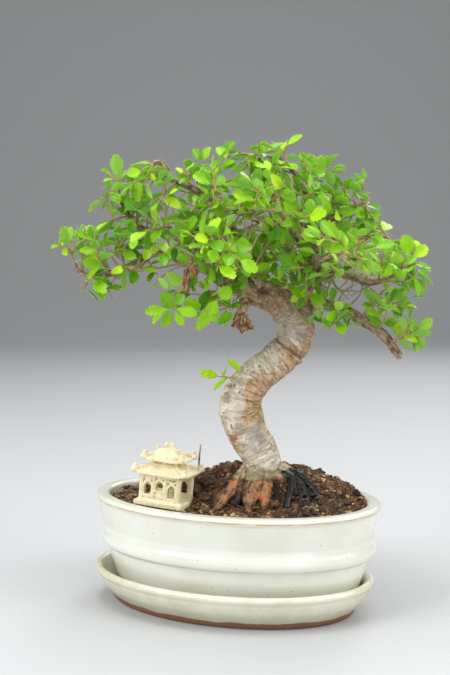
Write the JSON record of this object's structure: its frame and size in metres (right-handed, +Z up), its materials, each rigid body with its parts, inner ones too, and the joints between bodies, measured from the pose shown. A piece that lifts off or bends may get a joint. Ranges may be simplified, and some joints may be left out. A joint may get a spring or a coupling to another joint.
{
  "type": "chinese elm bonsai",
  "caption": "S-curved Chinese elm bonsai with a spreading leafy canopy, in an oval cream-glazed pot on a matching drip saucer, with a small two-tier garden pavilion on the soil.",
  "frame": {"origin": "middle of the saucer's flat underside", "axes": "+Z up, +X along the oval pot's long axis, with the tree's front towards -Y"},
  "size_m": [0.1953, 0.1658, 0.2533],
  "materials": {
    "saucer_glaze": "gloss",
    "pot_glaze": "gloss",
    "soil": "crumbly matte",
    "bark": "matte bark",
    "leaf": "waxy satin",
    "young_leaf": "waxy satin",
    "ivory": "matte",
    "dried_stem": "matte",
    "mesh_plastic": "matte"
  },
  "bodies": {
    "root": {"drain_mesh_left": "mesh_plastic", "drain_mesh_right": "mesh_plastic", "dry_stem": "dried_stem", "pavilion": "ivory", "pot": "pot_glaze", "saucer": "saucer_glaze", "soil": "soil", "spray_01": "leaf", "spray_02": "leaf", "spray_03": "leaf", "spray_04": "leaf", "spray_05": "leaf", "spray_06": "leaf", "spray_07": "leaf", "spray_08": "leaf", "spray_09": "leaf", "spray_10": "leaf", "spray_11": "leaf", "spray_12": "leaf", "spray_13": "leaf", "spray_14": "leaf", "spray_15": "leaf", "spray_16": "leaf", "spray_17": "leaf", "spray_18": "leaf", "spray_19": "leaf", "spray_20": "leaf", "spray_21": "leaf", "spray_22": "leaf", "spray_23": "leaf", "spray_24": "leaf", "spray_25": "leaf", "spray_26": "leaf", "spray_27": "leaf", "spray_28": "leaf", "spray_29": "leaf", "spray_30": "leaf", "spray_31": "leaf", "spray_32": "leaf", "spray_33": "leaf", "spray_34": "leaf", "spray_35": "leaf", "spray_36": "leaf", "spray_37": "leaf", "spray_38": "leaf", "spray_39": "leaf", "spray_40": "leaf", "spray_41": "leaf", "spray_42": "leaf", "spray_43": "leaf", "spray_44": "leaf", "spray_45": "leaf", "spray_46": "leaf", "spray_47": "leaf", "spray_48": "leaf", "spray_49": "leaf", "spray_50": "leaf", "spray_51": "leaf", "trunk": "bark", "trunk_sprig": "young_leaf"}
  },
  "joints": []
}
